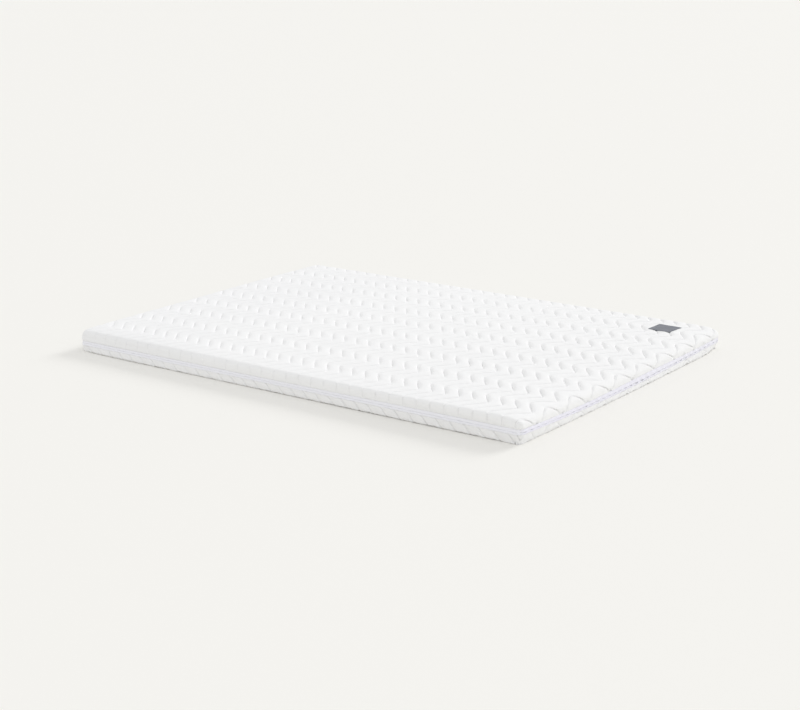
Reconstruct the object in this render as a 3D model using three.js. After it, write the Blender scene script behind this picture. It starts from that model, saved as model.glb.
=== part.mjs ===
// A thin latex mattress in a quilted, zipped cover, lying flat.
// Millimetres, +Z up. The origin is at the middle of the underside.
// X runs along the length, Y across the width.
import * as THREE from "three";

// Overall size.
const LENGTH = 1900;
const WIDTH = 1400;
const EDGE_HEIGHT = 79; // top of the quilting along the edges
const CROWN = 8; // further rise towards the middle
const CORNER_RADIUS = 28; // reach of the rounded corners, seen from above
const CORNER_SHAPE = { frontLeft: 1.7, frontRight: 4, backRight: 2.2, backLeft: 1.8 }; // 2 is a circle
const DRAWN_IN = 2; // the sides draw in by this towards the corners

// Low swells and dips of the top, each a soft round mound.
const SWELLS = [
  { x: -600, y: 40, rise: -3, spread: 240 },
  { x: 340, y: 60, rise: 2, spread: 300 },
  { x: 860, y: -60, rise: -3, spread: 220 },
  { x: -840, y: 260, rise: 2, spread: 260 },
];

// Zigzag quilting: each stitch line runs across the width, and the lines are one pitch apart.
const LINE_PITCH = 53.1;
const LINE_COUNT = 37;
const ZIGZAG_REPEAT = 155;
const ZIGZAG_SWING = 54;
const LINE_SKEW = -0.014; // the lines lean a little off the width
const CREST_START = 0.3; // the flat crest between two lines, as a share of the pitch
const LINE_MARGIN = 3; // a line stops this far from the zip seam
const CHANNEL_ON_END = 0.5; // share of a channel's depth that is left on the short sides
const CHANNEL_ON_SIDE = 0.15; // the same on the long sides, where the cloth is pulled tight

// The zip runs round the side in a band of its own, in a shallow recess.
const ZIP_BAND = 14;
const ZIP_CHAIN = 3;
const ZIP_THICKNESS = 2;
const SEAM_DRAW = 3; // the zip seam pulls the side in by this
const RECESS = 3;
const GAP = 0.6; // between neighbouring pieces
const HALF_GAP = 0.18; // from the parting face to each half
const ZIP_STEP = 150; // longest straight stretch of the zip
const ZIP_CORNER_STEPS = 8;

// Height of the middle of the zip at the four corners, and its sag along the +X end.
const ZIP_AT = { frontLeft: 28.5, frontRight: 38.4, backRight: 28.5, backLeft: 30.5 };
const ZIP_END_SAG = 12;

// Label on the top, near the +X +Y corner.
const LABEL = { x: 795, y: 552, length: 94, width: 95, thickness: 1.2, steps: 4 };

const halfLength = LENGTH / 2;
const halfWidth = WIDTH / 2;
const innerX = halfLength - CORNER_RADIUS;
const innerY = halfWidth - CORNER_RADIUS;

// Height of the quilting's crests above a point of the plan.
function crestHeight(x, y) {
  const u = x / halfLength;
  const v = y / halfWidth;
  const crown = CROWN * (1 - v ** 2) * (1 - u ** 4);
  const mounds = SWELLS.map((m) => {
    const distance = Math.hypot(x - m.x, y - m.y);
    return m.rise * Math.exp(-((distance / m.spread) ** 2));
  });
  return EDGE_HEIGHT + crown + mounds.reduce((sum, rise) => sum + rise, 0);
}

// Height of the middle of the zip, blended between the corners.
function zipHeight(x, y) {
  const right = (1 + x / halfLength) / 2;
  const back = (1 + y / halfWidth) / 2;
  const front = ZIP_AT.frontLeft * (1 - right) + ZIP_AT.frontRight * right;
  const rear = ZIP_AT.backLeft * (1 - right) + ZIP_AT.backRight * right;
  const sag = ZIP_END_SAG * 4 * back * (1 - back) * Math.max(0, right) ** 8;
  return front * (1 - back) + rear * back - sag;
}

// The two halves of the cover. Each is a panel that lies flat, rolls over at the edge and runs
// along the side to the zip. wall is the panel's width on the side, past the rolled edge.
const TOP_COVER = {
  up: 1,
  rollRadius: 22,
  rollSteps: 3,
  wall: 8,
  channelDepth: 6,
  outerLine: 942.4,
  zigzagPeak: -580.2,
  face: crestHeight,
  seam: (x, y) => zipHeight(x, y) + ZIP_BAND / 2,
};
const BOTTOM_COVER = {
  up: -1,
  rollRadius: 10,
  rollSteps: 2,
  wall: 21,
  channelDepth: 4,
  outerLine: 968.3,
  zigzagPeak: -667.7,
  face: () => 0,
  seam: (x, y) => zipHeight(x, y) - ZIP_BAND / 2,
};

// Width of the panel from the inner rectangle to the start of the roll, its end and the seam.
function panelReach(cover) {
  const flat = CORNER_RADIUS - cover.rollRadius;
  const rolled = flat + (Math.PI / 2) * cover.rollRadius;
  return { flat, rolled, seam: rolled + cover.wall };
}

// The plan outline draws in towards the corners.
function drawIn(x, y, z) {
  const u = x / halfLength;
  const v = y / halfWidth;
  return [x * (1 - (DRAWN_IN / halfLength) * v ** 2), y * (1 - (DRAWN_IN / halfWidth) * u ** 2), z];
}

// Outward direction at a corner, for a turn from the X axis. Its length bends the circle into a
// squarer or a flatter corner.
function outward(signX, signY, turn) {
  const side = signY < 0 ? "front" : "back";
  const power = CORNER_SHAPE[side + (signX < 0 ? "Left" : "Right")];
  const length = (Math.cos(turn) ** power + Math.sin(turn) ** power) ** (-1 / power);
  return { outX: signX * length * Math.cos(turn), outY: signY * length * Math.sin(turn) };
}

// Where a point of the flat panel starts from, which way it leads outwards, and how far.
// In a corner the square of the panel is turned into a quarter of a disc.
function panelFoot(s, t) {
  const x = THREE.MathUtils.clamp(s, -innerX, innerX);
  const y = THREE.MathUtils.clamp(t, -innerY, innerY);
  const a = Math.abs(s - x);
  const b = Math.abs(t - y);
  const reach = Math.max(a, b);
  let turn = 0;
  if (reach > 0) turn = a >= b ? (Math.PI / 4) * (b / a) : Math.PI / 2 - (Math.PI / 4) * (a / b);
  return { x, y, reach, ...outward(Math.sign(s), Math.sign(t), turn) };
}

// A point of the panel in its wrapped place, sunk below the crests by depth.
function panelPoint(cover, s, t, depth) {
  const foot = panelFoot(s, t);
  const { flat, rolled, seam } = panelReach(cover);
  const radius = cover.rollRadius;
  const face = cover.face(foot.x, foot.y);
  const rollCentre = face - cover.up * radius;
  const angle = THREE.MathUtils.clamp((foot.reach - flat) / radius, 0, Math.PI / 2);
  const onWall = THREE.MathUtils.clamp((foot.reach - rolled) / (seam - rolled), 0, 1);
  const out = Math.min(foot.reach, flat) + (radius - depth) * Math.sin(angle);
  const low = rollCentre + cover.up * (radius - depth) * Math.cos(angle);
  const z = THREE.MathUtils.lerp(low, cover.seam(foot.x, foot.y), onWall);
  return drawIn(foot.x + foot.outX * out, foot.y + foot.outY * out, z);
}

// A point on the rim of the zip's recess, inset from the side.
function rimPoint(s, t, inset, height) {
  const foot = panelFoot(s, t);
  const out = CORNER_RADIUS - inset;
  return drawIn(foot.x + foot.outX * out, foot.y + foot.outY * out, height(foot.x, foot.y));
}

// Sideways swing of a stitch line at t: a triangle wave and a little skew.
function lineSwing(cover, t) {
  const turns = (t - cover.zigzagPeak) / ZIGZAG_REPEAT;
  const wave = 4 * Math.abs(turns - Math.round(turns)) - 1;
  return (-ZIGZAG_SWING / 2) * wave + LINE_SKEW * (t + halfWidth);
}

// The panel's columns at t, from -X to +X: seam, then lines with two crest edges between, seam.
function panelColumns(cover, t) {
  const edge = innerX + panelReach(cover).seam;
  const limit = edge - LINE_MARGIN;
  const stops = [{ s: -edge, depth: 0 }];
  for (let i = LINE_COUNT - 1; i >= 0; i--) {
    const s = cover.outerLine - i * LINE_PITCH + lineSwing(cover, t);
    stops.push({ s: THREE.MathUtils.clamp(s, -limit, limit), depth: cover.channelDepth });
  }
  stops.push({ s: edge, depth: 0 });
  return stops.flatMap((stop, k) => {
    const next = stops[k + 1];
    if (!next) return [stop];
    const width = next.s - stop.s;
    const crest = [CREST_START, 1 - CREST_START].map((p) => ({ s: stop.s + p * width, depth: 0 }));
    return [stop, ...crest];
  });
}

// The panel's rows: the zigzag's turning points, then the steps of the rolled edge, then the seam.
function panelRows(cover) {
  const { flat, rolled, seam } = panelReach(cover);
  const rollStart = innerY + flat;
  const turningLimit = rollStart - 8;
  const half = ZIGZAG_REPEAT / 2;
  const first = Math.ceil((-turningLimit - cover.zigzagPeak) / half);
  const last = Math.floor((turningLimit - cover.zigzagPeak) / half);
  const turning = [];
  for (let k = first; k <= last; k++) turning.push(cover.zigzagPeak + k * half);
  const rim = [];
  for (let k = 0; k <= cover.rollSteps; k++)
    rim.push(rollStart + ((rolled - flat) * k) / cover.rollSteps);
  rim.push(innerY + seam);
  return [...rim.map((t) => -t).reverse(), ...turning, ...rim];
}

// Index triples of a strip between two closed loops of equal length.
function loopStrip(from, to, count) {
  const faces = [];
  for (let i = 0; i < count; i++) {
    const j = (i + 1) % count;
    faces.push([from + i, to + i, to + j], [from + i, to + j, from + j]);
  }
  return faces;
}

// A closed mesh of the given points and faces, turned inside out where the shape is mirrored.
function solidGeometry(points, faces, mirrored) {
  const index = faces.flatMap(([a, b, c]) => (mirrored ? [a, c, b] : [a, b, c]));
  const geometry = new THREE.BufferGeometry();
  geometry.setAttribute("position", new THREE.Float32BufferAttribute(points.flat(), 3));
  geometry.setIndex(index);
  geometry.computeVertexNormals();
  return geometry;
}

// Depth of a channel where it runs over the rolled edge and down the side.
function channelDepthAt(cover, s, t, depth) {
  const foot = panelFoot(s, t);
  const { flat, rolled, seam } = panelReach(cover);
  if (foot.reach > seam - LINE_MARGIN / 2) return SEAM_DRAW;
  const rolledShare = THREE.MathUtils.clamp((foot.reach - flat) / (rolled - flat), 0, 1);
  const left = Math.abs(foot.outX) > Math.abs(foot.outY) ? CHANNEL_ON_END : CHANNEL_ON_SIDE;
  return depth * THREE.MathUtils.lerp(1, left, rolledShare);
}

// One half of the cover as a filled solid: the quilted panel, the ledge and the recess for the
// zip, and the parting face between the two halves.
function coverGeometry(cover) {
  const rows = panelRows(cover);
  const grid = rows.map((t) =>
    panelColumns(cover, t).map(({ s, depth }) => ({
      s,
      t,
      depth: channelDepthAt(cover, s, t, depth),
    })),
  );
  const across = grid[0].length;
  const points = grid.flat().map((c) => panelPoint(cover, c.s, c.t, c.depth));
  const faces = [];
  for (let j = 0; j + 1 < rows.length; j++)
    for (let i = 0; i + 1 < across; i++) {
      const a = j * across + i;
      const b = a + across;
      faces.push([a, a + 1, b + 1], [a, b + 1, b]);
    }

  const lastRow = rows.length - 1;
  const rim = [];
  for (let i = 0; i < across - 1; i++) rim.push([0, i]);
  for (let j = 0; j < lastRow; j++) rim.push([j, across - 1]);
  for (let i = across - 1; i > 0; i--) rim.push([lastRow, i]);
  for (let j = lastRow; j > 0; j--) rim.push([j, 0]);

  const parting = (x, y) => zipHeight(x, y) + cover.up * HALF_GAP;
  const inset = SEAM_DRAW + RECESS;
  const ringStart = points.length;
  for (const [j, i] of rim) points.push(points[j * across + i]);
  for (const [j, i] of rim) points.push(rimPoint(grid[j][i].s, rows[j], inset, cover.seam));
  for (const [j, i] of rim) points.push(rimPoint(grid[j][i].s, rows[j], inset, parting));
  const count = rim.length;
  faces.push(...loopStrip(ringStart, ringStart + count, count));
  faces.push(...loopStrip(ringStart + count, ringStart + 2 * count, count));
  const middle = points.push([0, 0, parting(0, 0)]) - 1;
  for (let k = 0; k < count; k++) {
    const here = ringStart + 2 * count + k;
    faces.push([here, middle, ringStart + 2 * count + ((k + 1) % count)]);
  }
  return solidGeometry(points, faces, cover.up < 0);
}

// The zip's way round the side: plan points of the inner rectangle and the outward direction.
function zipRoute() {
  const corners = [
    { signX: 1, signY: -1 },
    { signX: 1, signY: 1 },
    { signX: -1, signY: 1 },
    { signX: -1, signY: -1 },
  ];
  const route = [];
  corners.forEach(({ signX, signY }, k) => {
    const next = corners[(k + 1) % corners.length];
    const fromEnd = signX !== signY; // the way round comes in along the front or the back
    for (let i = 0; i <= ZIP_CORNER_STEPS; i++) {
      const share = i / ZIP_CORNER_STEPS;
      const turn = (Math.PI / 2) * (fromEnd ? 1 - share : share);
      route.push({ x: signX * innerX, y: signY * innerY, ...outward(signX, signY, turn) });
    }
    const span = Math.hypot((next.signX - signX) * innerX, (next.signY - signY) * innerY);
    const steps = Math.ceil(span / ZIP_STEP);
    const { outX, outY } = route[route.length - 1];
    for (let i = 1; i < steps; i++) {
      const x = innerX * THREE.MathUtils.lerp(signX, next.signX, i / steps);
      const y = innerY * THREE.MathUtils.lerp(signY, next.signY, i / steps);
      route.push({ x, y, outX, outY });
    }
  });
  return route;
}

// A closed ring round the side, between two heights above the middle of the zip.
function zipRing(low, high, proud) {
  const inner = CORNER_RADIUS - SEAM_DRAW - RECESS + GAP;
  const outer = inner + ZIP_THICKNESS + proud;
  const section = [
    { out: outer, rise: low },
    { out: outer, rise: high },
    { out: inner, rise: high },
    { out: inner, rise: low },
  ];
  const route = zipRoute();
  const points = section.flatMap(({ out, rise }) =>
    route.map((p) =>
      drawIn(p.x + p.outX * out, p.y + p.outY * out, zipHeight(p.x, p.y) + rise),
    ),
  );
  const count = route.length;
  const faces = section.flatMap((_, k) =>
    loopStrip(((k + 1) % section.length) * count, k * count, count),
  );
  return solidGeometry(points, faces, false);
}

// A thin cloth patch that lies on the crests and follows their height.
function labelGeometry() {
  const { x, y, length, width, thickness, steps } = LABEL;
  const across = steps + 1;
  const points = [];
  for (const rise of [GAP, GAP + thickness])
    for (let j = 0; j <= steps; j++)
      for (let i = 0; i <= steps; i++) {
        const px = x + (i / steps - 0.5) * length;
        const py = y + (j / steps - 0.5) * width;
        points.push(drawIn(px, py, crestHeight(px, py) + rise));
      }
  const layer = across * across;
  const faces = [];
  for (let j = 0; j < steps; j++)
    for (let i = 0; i < steps; i++) {
      const a = j * across + i;
      const b = a + across;
      faces.push([a, b + 1, a + 1], [a, b, b + 1]);
      faces.push([layer + a, layer + a + 1, layer + b + 1], [layer + a, layer + b + 1, layer + b]);
    }
  const rim = [];
  for (let i = 0; i < steps; i++) rim.push(i);
  for (let j = 0; j < steps; j++) rim.push(j * across + steps);
  for (let i = steps; i > 0; i--) rim.push(steps * across + i);
  for (let j = steps; j > 0; j--) rim.push(j * across);
  rim.forEach((a, k) => {
    const b = rim[(k + 1) % rim.length];
    faces.push([a, b, layer + b], [a, layer + b, layer + a]);
  });
  return solidGeometry(points, faces, false);
}

const white = new THREE.Color(0.93, 0.93, 0.93);
const paleTape = new THREE.Color(0.86, 0.86, 0.92);
const greyChain = new THREE.Color(0.66, 0.67, 0.76);
const darkGrey = new THREE.Color(0.16, 0.17, 0.19);

function piece(name, geometry, color, roughness) {
  const material = new THREE.MeshStandardMaterial({ color, roughness, metalness: 0 });
  const mesh = new THREE.Mesh(geometry, material);
  mesh.name = name;
  return mesh;
}

const chainHalf = ZIP_CHAIN / 2;
const tapeStart = chainHalf + GAP;
const tapeEnd = ZIP_BAND / 2 - GAP;

const mattress = new THREE.Group();
mattress.add(
  piece("cover_top", coverGeometry(TOP_COVER), white, 0.85),
  piece("cover_bottom", coverGeometry(BOTTOM_COVER), white, 0.85),
  piece("zip_tape_upper", zipRing(tapeStart, tapeEnd, 0), paleTape, 0.7),
  piece("zip_tape_lower", zipRing(-tapeEnd, -tapeStart, 0), paleTape, 0.7),
  piece("zip_chain", zipRing(-chainHalf, chainHalf, 0.5), greyChain, 0.5),
  piece("label", labelGeometry(), darkGrey, 0.8),
);

export default mattress;
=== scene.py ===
# %% [markdown]
# # A thin latex mattress in a quilted, zipped cover
#
# The mattress lies flat: a slab of latex foam in a white knitted cover that is quilted over wadding in
# zigzag lines. A zip runs round the side and parts the cover into a top and a bottom half, and a dark
# cloth patch is sewn on near one corner.
#
# The frame below holds the plain solids at their real size. Everything here is made round that frame,
# in metres, with X along the length, Y across the width and Z up.

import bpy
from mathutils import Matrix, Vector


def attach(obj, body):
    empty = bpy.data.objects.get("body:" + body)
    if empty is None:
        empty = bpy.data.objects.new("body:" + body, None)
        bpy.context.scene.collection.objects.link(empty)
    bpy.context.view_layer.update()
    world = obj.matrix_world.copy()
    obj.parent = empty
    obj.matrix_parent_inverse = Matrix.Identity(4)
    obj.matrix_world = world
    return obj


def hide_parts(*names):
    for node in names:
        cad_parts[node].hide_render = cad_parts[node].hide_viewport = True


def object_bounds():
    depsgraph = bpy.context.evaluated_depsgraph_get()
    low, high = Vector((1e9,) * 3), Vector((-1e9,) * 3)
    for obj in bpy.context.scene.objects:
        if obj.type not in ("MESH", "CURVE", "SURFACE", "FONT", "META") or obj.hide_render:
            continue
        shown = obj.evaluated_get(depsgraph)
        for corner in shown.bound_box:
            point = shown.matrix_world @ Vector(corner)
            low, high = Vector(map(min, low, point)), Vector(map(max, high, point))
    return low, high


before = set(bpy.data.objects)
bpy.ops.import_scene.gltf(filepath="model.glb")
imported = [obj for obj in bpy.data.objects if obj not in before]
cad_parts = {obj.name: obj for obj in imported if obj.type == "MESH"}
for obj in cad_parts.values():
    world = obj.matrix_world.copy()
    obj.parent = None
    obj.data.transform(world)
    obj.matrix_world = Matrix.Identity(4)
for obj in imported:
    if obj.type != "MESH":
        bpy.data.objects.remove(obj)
cad_low, cad_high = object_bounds()
print("frame box", [round(v, 4) for v in (*cad_low, *cad_high)])

# %% Libraries
import math
from functools import partialmethod
from types import SimpleNamespace

import bpy
import numpy as np

# %% [markdown]
# ## The camera
#
# A photograph of a product is often taken with a long lens from a little above. The camera here stands
# off the front right corner, 15 degrees up, with a 73 mm lens, so the long side runs away to the left
# and the short side to the right.

# %% Camera
CAMERA_PLACE = (3.365, -4.701, 1.573)
CAMERA_ELEVATION = 15.43
CAMERA_AZIMUTH = 35.60
LENS_MM = 73.3
SENSOR_MM = 36.0

camera_data = bpy.data.cameras.new("camera")
camera_data.lens = LENS_MM
camera_data.sensor_width = SENSOR_MM
camera_data.clip_end = 200.0


def add_turned(name, data, elevation, heading):
    """An object of the scene that looks down at an elevation and a heading, in degrees."""
    thing = bpy.data.objects.new(name, data)
    thing.rotation_euler = (math.radians(90 - elevation), 0, math.radians(heading))
    bpy.context.scene.collection.objects.link(thing)
    return thing


camera = add_turned("camera", camera_data, CAMERA_ELEVATION, CAMERA_AZIMUTH)
camera.location = CAMERA_PLACE
bpy.context.scene.camera = camera
print("camera", CAMERA_PLACE, "lens", LENS_MM, "mm")

# %% [markdown]
# ## The shape of the mattress
#
# A handmade thing is never quite regular, and its unevenness is what makes it look real. Here that
# unevenness is a few formulas: the top rises towards the middle and has some low swells, the zip runs
# higher at one corner than at the next, and the sides draw in towards the corners. Nearly the same
# formulas shape the solids of the frame, which these follow to a few millimetres.

# %% Height of the top, height of the zip
HALF_LENGTH = round((cad_high.x - cad_low.x) / 2, 3)
HALF_WIDTH = round((cad_high.y - cad_low.y) / 2, 3)
EDGE_HEIGHT = 0.079
CROWN = 0.008
CORNER_REACH = 0.028
DRAWN_IN = 0.002
INNER_X = HALF_LENGTH - CORNER_REACH
INNER_Y = HALF_WIDTH - CORNER_REACH

# Each swell has a place, a rise and a spread.
SWELLS = [
    (-0.600, 0.040, -0.003, 0.240),
    (0.340, 0.060, 0.002, 0.300),
    (0.860, -0.060, -0.003, 0.220),
    (-0.840, 0.260, 0.002, 0.260),
    (0.900, -0.720, 0.007, 0.330),
]

ZIP_FRONT = (0.0310, 0.0415)  # left corner, right corner
ZIP_BACK = (0.0305, 0.0335)
ZIP_END_SAG = 0.0146
SAG_TOWARDS_FRONT = (1.28, 0.56)  # at the front corner, and how much less at the back one


def bell(distance, width):
    """1 at no distance, and 0 a few widths away."""
    return np.exp(-((distance / width) ** 2))


def crest_height(x, y):
    """Height of the quilting's crests above a point of the plan."""
    u, v = x / HALF_LENGTH, y / HALF_WIDTH
    height = EDGE_HEIGHT + CROWN * (1 - v**2) * (1 - u**4)
    for swell_x, swell_y, rise, spread in SWELLS:
        height = height + rise * bell(np.hypot(x - swell_x, y - swell_y), spread)
    return height


def zip_height(x, y):
    """Height of the middle of the zip, blended between the corners."""
    right, back = (1 + x / HALF_LENGTH) / 2, (1 + y / HALF_WIDTH) / 2
    front = ZIP_FRONT[0] * (1 - right) + ZIP_FRONT[1] * right
    rear = ZIP_BACK[0] * (1 - right) + ZIP_BACK[1] * right
    deepest, less = SAG_TOWARDS_FRONT
    sag = ZIP_END_SAG * 4 * back * (1 - back) * (deepest - less * back) * np.maximum(0, right) ** 8
    return front * (1 - back) + rear * back - sag


print("crown", round(float(crest_height(0, 0)), 4), "zip at front right", zip_height(0.95, -0.7))

# %% [markdown]
# ## Wrapping a flat panel round the edge
#
# A cover starts as a flat panel. It lies on the foam, rolls over the edge and runs along the side to the
# zip. So every point of the cover has a place (s, t) on the flat panel, in metres of cloth, and one
# function puts it where it lies on the mattress. In a corner the square end of the panel has to go round
# a quarter turn, so there the square is bent into a quarter of a disc.
#
# Working on the flat panel has three gains. The quilting is drawn once, in a plane. The stitches and the
# weave follow the cloth round the edge. And (s, t) is a ready UV map in real metres.

# %% From the flat panel to the foot of a point
CORNER_SHAPES = {"front left": 1.7, "front right": 4.0, "back right": 3.0, "back left": 1.8}


def smooth(value):
    """0 below 0, 1 above 1, and a soft ramp between."""
    v = np.clip(value, 0, 1)
    return v * v * (3 - 2 * v)


def along_length(x, ramp):
    """A soft ramp along the length, given by its slope and its height in the middle."""
    slope, middle = ramp
    return smooth(slope * (x / HALF_LENGTH) + middle)


def draw_in(x, y):
    """The sides draw in towards the corners."""
    u, v = x / HALF_LENGTH, y / HALF_WIDTH
    return x * (1 - DRAWN_IN / HALF_LENGTH * v**2), y * (1 - DRAWN_IN / HALF_WIDTH * u**2)


def by_corner(values, sign_x, sign_y):
    """The value of the corner that a point belongs to."""
    left = np.where(sign_y < 0, values["front left"], values["back left"])
    right = np.where(sign_y < 0, values["front right"], values["back right"])
    return np.where(sign_x < 0, left, right)


def outward(sign_x, sign_y, turn):
    """Outward direction at a turn from the X axis, longer where the corner is squarer than a circle."""
    power = by_corner(CORNER_SHAPES, sign_x, sign_y)
    cosine, sine = np.abs(np.cos(turn)), np.abs(np.sin(turn))
    length = (cosine**power + sine**power) ** (-1 / power)
    return sign_x * length * cosine, sign_y * length * sine


def panel_foot(s, t):
    """Where a point of the panel starts from, which way it leads outwards, and how far."""
    x, y = np.clip(s, -INNER_X, INNER_X), np.clip(t, -INNER_Y, INNER_Y)
    a, b = np.abs(s - x), np.abs(t - y)
    reach = np.maximum(a, b)
    ratio = np.minimum(a, b) / np.maximum(reach, 1e-9)
    turn = np.where(a >= b, math.pi / 4 * ratio, math.pi / 2 - math.pi / 4 * ratio)
    out_x, out_y = outward(np.sign(s), np.sign(t), turn)
    return x, y, out_x, out_y, reach


def panel_reach(cover):
    """Width of the panel from the inner rectangle to the start of the roll, its end and the seam."""
    flat = CORNER_REACH - cover.roll
    rolled = flat + math.pi / 2 * cover.roll
    return flat, rolled, rolled + cover.wall


print("inner rectangle", round(2 * INNER_X, 3), "by", round(2 * INNER_Y, 3), "m")

# %% [markdown]
# Cloth that is pulled over soft foam never has even sides. So the wrap adds a few small uneven parts: a
# side leans in or out here, the top droops there, and the corners swell over the zip.

# %% Where the sides lean, bulge and droop
CORNER_LEANS = {"front left": 0.006, "front right": 0.005, "back right": 0.016, "back left": 0.004}
DROOP_START = 0.865
END_DROOP = 0.020
FRONT_DROOP, FRONT_DROOP_WIDTH = 0.014, 0.080
FRONT_DROOP_FADE = (-0.15, 0.80)  # it begins at the first x, and is full this much further left
CORNER_SPREAD = 0.050
CORNER_SWELL = 0.0025
CORNER_PINCH, PINCH_TURN = 0.0030, 0.25
PRESS_DOWN = 0.0064
FRONT_LIFT, LIFT_START, LIFT_SPAN, LIFT_END, LIFT_FADE = 0.0015, -0.35, 0.7, 0.95, 0.05
SEAM_STEP = 0.0018

# How far each part of a side leans or is squared, with the ramp on which that begins.
FRONT_SLOPE, SLOPE_RAMP = 0.005, (-1.4, -0.2)
FRONT_BULGE, BULGE_RAMP = 0.005, (1.4, -0.3)
FOOT_FLARE, FLARE_RAMP = 0.005, (-1.4, -0.1)
TUCK_UNDER, TUCK_RAMP = 0.002, (1.6, -0.56)
FRONT_SQUARE, SQUARE_RAMP = 0.58, (0.8, 0.4)
END_TUCK, END_TUCK_AT, END_TUCK_SPREAD = 0.005, -0.62, 0.20
END_FLARE, END_FLARE_RAMP = 0.003, (2, 0.7)


def droop(x, y):
    """How far the top slopes down along the +X end, and along the front towards its left corner."""
    end = END_DROOP * (np.maximum(0, x - DROOP_START) / (HALF_LENGTH - DROOP_START)) ** 2
    from_front = HALF_WIDTH + y
    front = FRONT_DROOP * (np.maximum(0, FRONT_DROOP_WIDTH - from_front) / FRONT_DROOP_WIDTH) ** 2
    return end + front * smooth((FRONT_DROOP_FADE[0] - x) / FRONT_DROOP_FADE[1])


def corner_near(x, y):
    """1 at a corner of the inner rectangle, and 0 well away from it."""
    from_x, from_y = (INNER_X - np.abs(x)) / CORNER_SPREAD, (INNER_Y - np.abs(y)) / CORNER_SPREAD
    return np.exp(-(from_x**2) - from_y**2)


def corner_pinch(x, y, out_x, out_y):
    """How far the zip is pinched in right at a corner."""
    return CORNER_PINCH * corner_near(x, y) * bell(np.abs(out_x) - np.abs(out_y), PINCH_TURN)


def side_lean(cover, x, y, out_x, out_y):
    """How far a side leans in, away from the zip: the cloth is pulled differently along the sides."""
    front, end = np.maximum(0, -out_y) ** 2, np.maximum(0, out_x)
    if cover.up > 0:
        top = FRONT_SLOPE * along_length(x, SLOPE_RAMP) - FRONT_BULGE * along_length(x, BULGE_RAMP)
        return top * front
    foot = TUCK_UNDER * along_length(x, TUCK_RAMP) - FOOT_FLARE * along_length(x, FLARE_RAMP)
    flared = END_FLARE * smooth(END_FLARE_RAMP[0] * y + END_FLARE_RAMP[1])
    tucked = END_TUCK * bell(y - END_TUCK_AT, END_TUCK_SPREAD) - flared
    return foot * front + tucked * end


def seam_step(out_x, out_y):
    """How far the bottom half stands out beyond the top half at the zip, at the front and the left end."""
    return SEAM_STEP * np.minimum(1, np.maximum(0, -out_x) + np.maximum(0, -out_y))


def front_lift(x, out_y, reach):
    """How far the underside rises from the floor towards the front edge, on the right half."""
    u = x / HALF_LENGTH
    span = smooth((u - LIFT_START) / LIFT_SPAN) * (1 - smooth((u - LIFT_END) / LIFT_FADE))
    return FRONT_LIFT * span * np.maximum(0, -out_y) * smooth(reach / CORNER_REACH)


def corner_shift(cover, x, y, on_wall):
    """At the corners the top half swells over the zip and the bottom half leans in to the floor."""
    near = corner_near(x, y)
    if cover.up > 0:
        return near * CORNER_SWELL * 4 * on_wall * (1 - on_wall)
    return -near * by_corner(CORNER_LEANS, x, y) * (1 - on_wall)


print("droop near the +X end", round(float(droop(0.93, 0)), 4))


# %% Wrap
def panel_place(cover, s, t, sunk):
    """Places of panel points, sunk below the crests, as an array of three columns."""
    x, y, out_x, out_y, reach = panel_foot(s, t)
    flat, rolled, seam = panel_reach(cover)
    angle = np.clip((reach - flat) / cover.roll, 0, math.pi / 2)
    on_wall = np.clip((reach - rolled) / (seam - rolled), 0, 1)
    squared = (cover.up > 0) * along_length(x, SQUARE_RAMP)
    square = 1 - FRONT_SQUARE * squared * np.maximum(0, -out_y) ** 2
    roll = cover.roll - sunk
    out = np.minimum(reach, flat) + roll * np.sin(angle) ** square
    lean = cover.lean * (1 - np.abs(out_x)) + side_lean(cover, x, y, out_x, out_y)
    out = out + (corner_shift(cover, x, y, on_wall) - lean * (1 - on_wall)) * np.sin(angle)
    out = out - corner_pinch(x, y, out_x, out_y) * on_wall**3
    out = out + seam_step(out_x, out_y) * (cover.up < 0) * on_wall**2
    low = cover.face(x, y) - cover.up * (cover.roll - roll * np.maximum(0, np.cos(angle)) ** square)
    z = low * (1 - on_wall) + cover.seam(x, y) * on_wall
    if cover.up > 0:
        z = z - droop(x + out_x * out, y + out_y * out) * (z - cover.seam(x, y)) / EDGE_HEIGHT
    else:
        pressed = PRESS_DOWN * smooth(out_x * reach / CORNER_REACH)
        z = np.maximum(0, z + (front_lift(x, out_y, reach) - pressed) * (1 - on_wall))
    return np.stack([*draw_in(x + out_x * out, y + out_y * out), z], axis=-1)


# %% [markdown]
# ## The zigzag quilting
#
# The machine sews every line in the same zigzag, 53 mm from the next. A needle can't turn on the spot in
# soft wadding, so the turning points are a little rounded. An arcsine of a sine gives such a wave: it is
# a triangle wave with rounded tips, and the factor inside says how sharp they are.
#
# Top and bottom are quilted from the same roll of panel but cut at another place, so each has its own
# outermost line and its own first turning point.

# %% Stitch lines and the two covers
LINE_PITCH = 0.0531
LINE_COUNT = 37
ZIGZAG_REPEAT = 0.155
ZIGZAG_SWING = 0.0500
TIP_SHARPNESS = 0.93
UPRIGHT_START = 0.012
LINE_SKEW = -0.0167
LINE_MARGIN = 0.003
ZIP_BAND = 0.014
UPPER_SHOWS, UPPER_ON_RIGHT, RIGHT_RAMP = 0.0010, 0.0025, (1, 0.1)
UPPER_PULLED, LOWER_PULLED = 0.0060, 0.0010
PULLED_START, PULLED_RISE, PULLED_AT, PULLED_SPREAD = 0.9, 0.07, 0.12, 0.28
SEAM_DRAW = 0.0004


def tape_extra(up, x, y):
    """How much wider a tape shows than its half of the band: most along the +X end, past its middle."""
    pulled = smooth((x / HALF_LENGTH - PULLED_START) / PULLED_RISE) * bell(y - PULLED_AT, PULLED_SPREAD)
    if up > 0:
        return UPPER_SHOWS + UPPER_ON_RIGHT * along_length(x, RIGHT_RAMP) + UPPER_PULLED * pulled
    return LOWER_PULLED * pulled


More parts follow.
